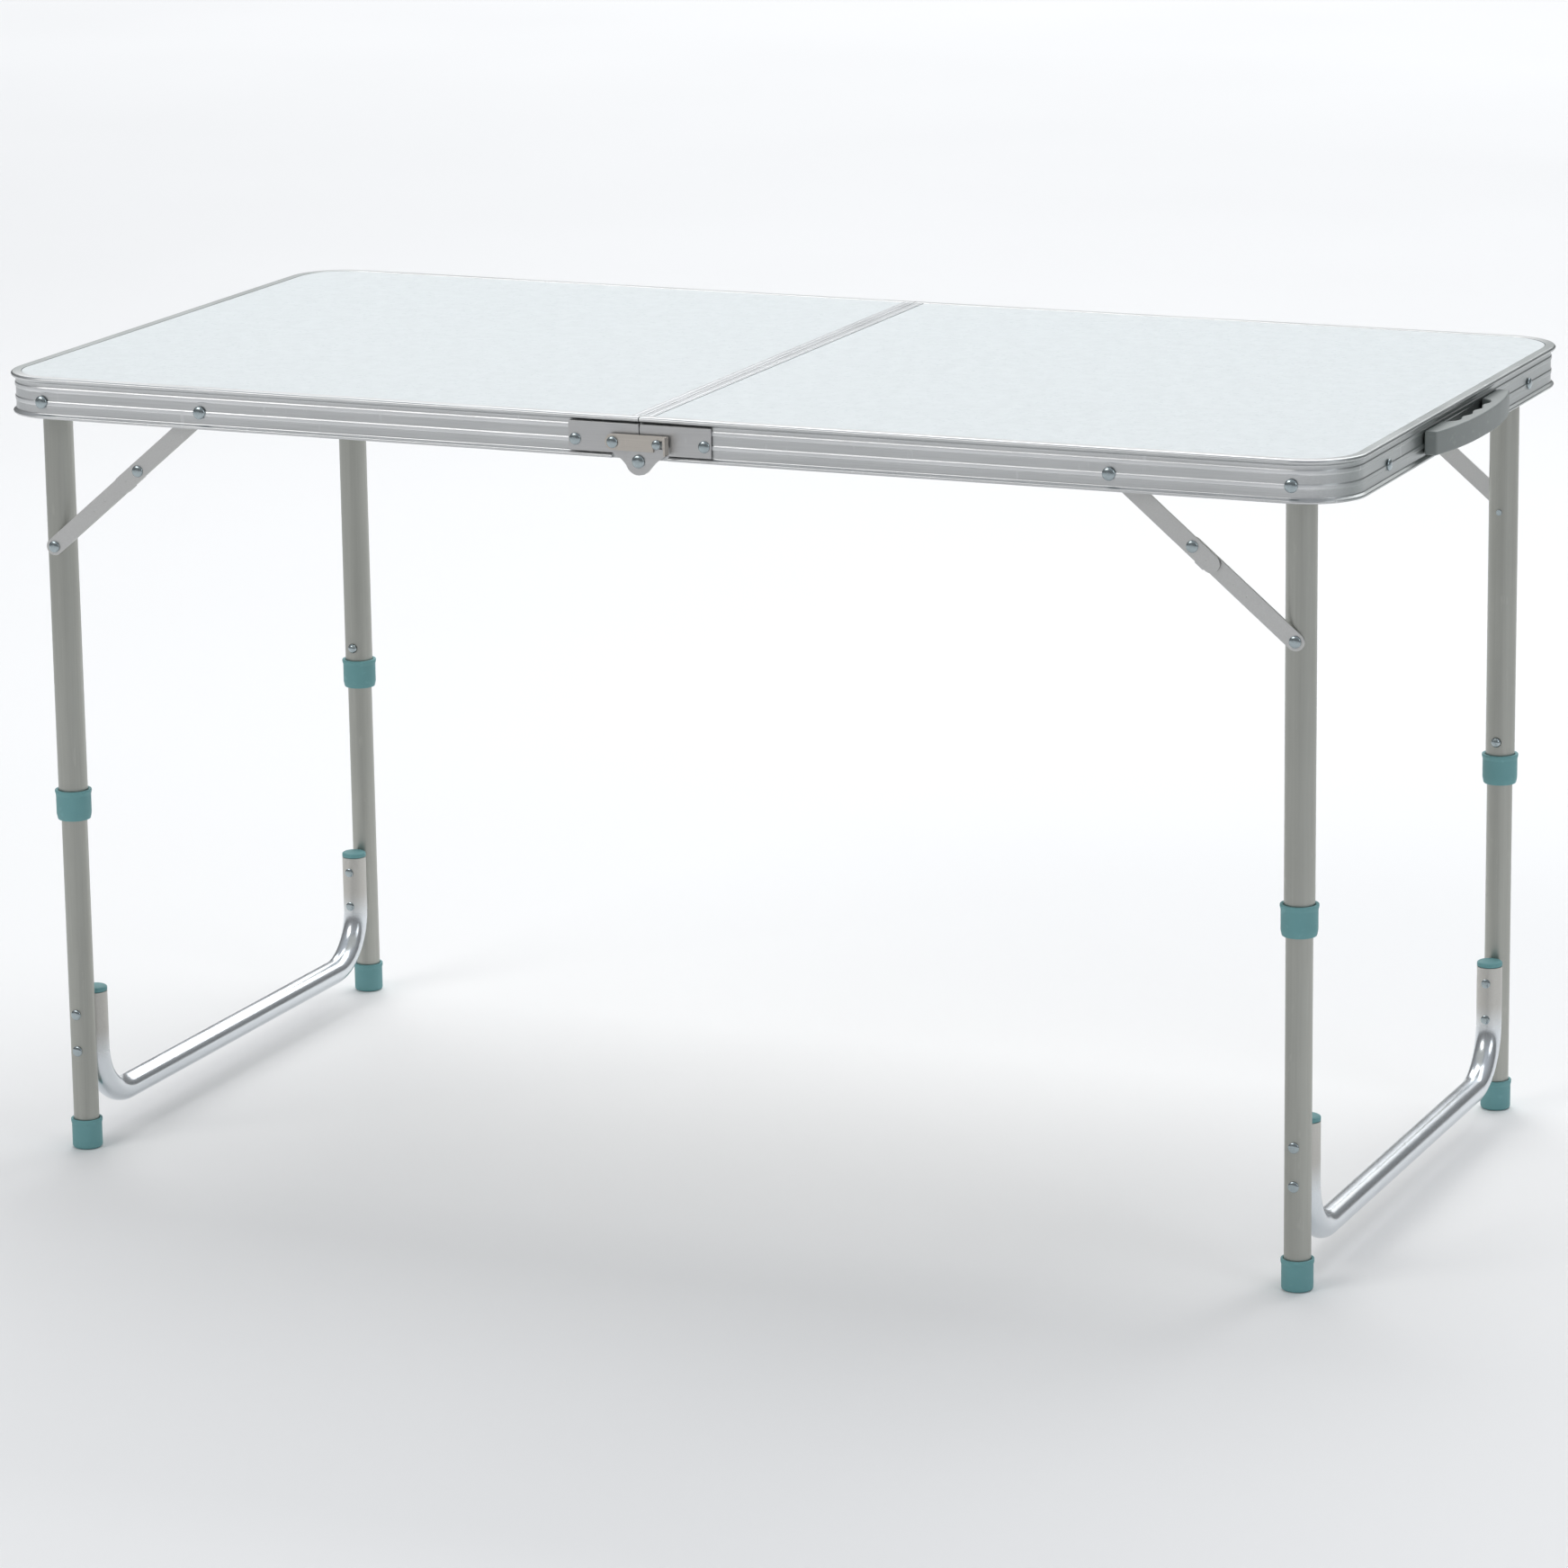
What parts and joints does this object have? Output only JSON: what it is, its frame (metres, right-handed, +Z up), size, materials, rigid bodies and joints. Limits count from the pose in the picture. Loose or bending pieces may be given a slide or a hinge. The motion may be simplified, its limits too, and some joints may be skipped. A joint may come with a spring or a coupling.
{
  "type": "folding picnic table",
  "caption": "Suitcase-style folding picnic table with a pale two-part top in aluminium rails, fold-in telescopic legs, locking braces and a carrying handle.",
  "frame": {"origin": "centre of the bounding box on the floor, with the table standing open", "axes": "+X along the table to the end with the handle, +Z up, the front edge faces -Y"},
  "size_m": [1.218, 0.6176, 0.68],
  "materials": {
    "rail_aluminium": "satin extruded, brushed along its length",
    "leg_aluminium": "matte champagne-grey anodised",
    "bright_aluminium": "polished, silvery",
    "zinc_steel": "bright zinc plated",
    "laminate_panel": "pale mottled melamine over fibreboard",
    "teal_plastic": "moulded, fine grain",
    "grey_plastic": "moulded, satin"
  },
  "bodies": {
    "table_left": {"rail_left": "rail_aluminium", "centre_rail_left": "rail_aluminium", "panel_left": "laminate_panel", "hinge_plate_front_left": "zinc_steel", "hinge_plate_back_left": "zinc_steel", "leg_pivot_front_left": "zinc_steel", "leg_pivot_back_left": "zinc_steel", "hinge_pin_front": "zinc_steel", "hinge_pin_back": "zinc_steel"},
    "table_right": {"rail_right": "rail_aluminium", "centre_rail_right": "rail_aluminium", "panel_right": "laminate_panel", "hinge_plate_front_right": "zinc_steel", "hinge_plate_back_right": "zinc_steel", "leg_pivot_front_right": "zinc_steel", "leg_pivot_back_right": "zinc_steel", "handle": "grey_plastic"},
    "latch_front": {"latch_front": "zinc_steel"},
    "latch_back": {"latch_back": "zinc_steel"},
    "legs_left": {"leg_upper_front_left": "leg_aluminium", "leg_upper_back_left": "leg_aluminium", "collar_front_left": "teal_plastic", "collar_back_left": "teal_plastic"},
    "lower_frame_left": {"leg_lower_front_left": "leg_aluminium", "leg_lower_back_left": "leg_aluminium", "foot_front_left": "teal_plastic", "foot_back_left": "teal_plastic", "u_bar_cap_front_left": "teal_plastic", "u_bar_cap_back_left": "teal_plastic", "button_spring_front_left": "zinc_steel", "button_spring_back_left": "zinc_steel", "u_bar_left": "bright_aluminium"},
    "legs_right": {"leg_upper_front_right": "leg_aluminium", "leg_upper_back_right": "leg_aluminium", "collar_front_right": "teal_plastic", "collar_back_right": "teal_plastic"},
    "lower_frame_right": {"leg_lower_front_right": "leg_aluminium", "leg_lower_back_right": "leg_aluminium", "foot_front_right": "teal_plastic", "foot_back_right": "teal_plastic", "u_bar_cap_front_right": "teal_plastic", "u_bar_cap_back_right": "teal_plastic", "button_spring_front_right": "zinc_steel", "button_spring_back_right": "zinc_steel", "u_bar_right": "bright_aluminium"},
    "button_front_left": {"button_front_left": "zinc_steel"},
    "brace_upper_front_left": {"brace_upper_front_left": "leg_aluminium"},
    "brace_lower_front_left": {"brace_lower_front_left": "leg_aluminium"},
    "button_back_left": {"button_back_left": "zinc_steel"},
    "brace_upper_back_left": {"brace_upper_back_left": "leg_aluminium"},
    "brace_lower_back_left": {"brace_lower_back_left": "leg_aluminium"},
    "button_front_right": {"button_front_right": "zinc_steel"},
    "brace_upper_front_right": {"brace_upper_front_right": "leg_aluminium"},
    "brace_lower_front_right": {"brace_lower_front_right": "leg_aluminium"},
    "button_back_right": {"button_back_right": "zinc_steel"},
    "brace_upper_back_right": {"brace_upper_back_right": "leg_aluminium"},
    "brace_lower_back_right": {"brace_lower_back_right": "leg_aluminium"}
  },
  "joints": [
    {"name": "table_fold", "type": "hinge", "parent": "table_left", "child": "table_right", "pos_m": [-0.009, 0, 0.644], "axis": [0, 1, 0], "range_deg": [0, 78]},
    {"name": "latch_swing_front", "type": "hinge", "parent": "table_left", "child": "latch_front", "pos_m": [-0.031, 0, 0.659], "axis": [0, -1, 0], "range_deg": [0, 91]},
    {"name": "latch_swing_back", "type": "hinge", "parent": "table_left", "child": "latch_back", "pos_m": [-0.031, 0, 0.659], "axis": [0, -1, 0], "range_deg": [0, 91]},
    {"name": "leg_fold_left", "type": "hinge", "parent": "table_left", "child": "legs_left", "pos_m": [-0.561, 0, 0.659], "axis": [0, -1, 0], "range_deg": [0, 86]},
    {"name": "leg_slide_left", "type": "slide", "parent": "legs_left", "child": "lower_frame_left", "axis": [0, 0, 1], "range_m": [0, 0.15]},
    {"name": "leg_fold_right", "type": "hinge", "parent": "table_right", "child": "legs_right", "pos_m": [0.543, 0, 0.659], "axis": [0, 1, 0], "range_deg": [0, 86]},
    {"name": "leg_slide_right", "type": "slide", "parent": "legs_right", "child": "lower_frame_right", "axis": [0, 0, 1], "range_m": [0, 0.15]},
    {"name": "button_press_front_left", "type": "slide", "parent": "legs_left", "child": "button_front_left", "axis": [0, 1, 0], "range_m": [-0.0044, 0], "stiffness_N_per_m": 500, "springref_m": 0.004, "deforming": ["button_spring_front_left"]},
    {"name": "brace_upper_turn_front_left", "type": "hinge", "parent": "table_left", "child": "brace_upper_front_left", "pos_m": [-0.411, -0.286, 0.659], "axis": [0, -1, 0], "range_deg": [0, 136]},
    {"name": "brace_lower_turn_front_left", "type": "hinge", "parent": "legs_left", "child": "brace_lower_front_left", "pos_m": [-0.561, -0.284, 0.533], "axis": [0, -1, 0], "range_deg": [-126, 0]},
    {"name": "button_press_back_left", "type": "slide", "parent": "legs_left", "child": "button_back_left", "axis": [0, -1, 0], "range_m": [-0.0044, 0], "stiffness_N_per_m": 500, "springref_m": 0.004, "deforming": ["button_spring_back_left"]},
    {"name": "brace_upper_turn_back_left", "type": "hinge", "parent": "table_left", "child": "brace_upper_back_left", "pos_m": [-0.411, 0.286, 0.659], "axis": [0, -1, 0], "range_deg": [0, 136]},
    {"name": "brace_lower_turn_back_left", "type": "hinge", "parent": "legs_left", "child": "brace_lower_back_left", "pos_m": [-0.561, 0.284, 0.533], "axis": [0, -1, 0], "range_deg": [-126, 0]},
    {"name": "button_press_front_right", "type": "slide", "parent": "legs_right", "child": "button_front_right", "axis": [0, 1, 0], "range_m": [-0.0044, 0], "stiffness_N_per_m": 500, "springref_m": 0.004, "deforming": ["button_spring_front_right"]},
    {"name": "brace_upper_turn_front_right", "type": "hinge", "parent": "table_right", "child": "brace_upper_front_right", "pos_m": [0.393, -0.286, 0.659], "axis": [0, 1, 0], "range_deg": [0, 136]},
    {"name": "brace_lower_turn_front_right", "type": "hinge", "parent": "legs_right", "child": "brace_lower_front_right", "pos_m": [0.543, -0.284, 0.533], "axis": [0, 1, 0], "range_deg": [-126, 0]},
    {"name": "button_press_back_right", "type": "slide", "parent": "legs_right", "child": "button_back_right", "axis": [0, -1, 0], "range_m": [-0.0044, 0], "stiffness_N_per_m": 500, "springref_m": 0.004, "deforming": ["button_spring_back_right"]},
    {"name": "brace_upper_turn_back_right", "type": "hinge", "parent": "table_right", "child": "brace_upper_back_right", "pos_m": [0.393, 0.286, 0.659], "axis": [0, 1, 0], "range_deg": [0, 136]},
    {"name": "brace_lower_turn_back_right", "type": "hinge", "parent": "legs_right", "child": "brace_lower_back_right", "pos_m": [0.543, 0.284, 0.533], "axis": [0, 1, 0], "range_deg": [-126, 0]}
  ],
  "couplings": [
    {"joint": "latch_swing_front", "follows": "table_fold", "ratio": 1.1538},
    {"joint": "latch_swing_back", "follows": "table_fold", "ratio": 1.1538},
    {"joint": "brace_upper_turn_front_left", "follows": "leg_fold_left", "ratio": 1.5694},
    {"joint": "brace_lower_turn_front_left", "follows": "leg_fold_left", "ratio": -1.4576},
    {"joint": "brace_upper_turn_back_left", "follows": "leg_fold_left", "ratio": 1.5694},
    {"joint": "brace_lower_turn_back_left", "follows": "leg_fold_left", "ratio": -1.4576},
    {"joint": "brace_upper_turn_front_right", "follows": "leg_fold_right", "ratio": 1.5694},
    {"joint": "brace_lower_turn_front_right", "follows": "leg_fold_right", "ratio": -1.4576},
    {"joint": "brace_upper_turn_back_right", "follows": "leg_fold_right", "ratio": 1.5694},
    {"joint": "brace_lower_turn_back_right", "follows": "leg_fold_right", "ratio": -1.4576}
  ]
}
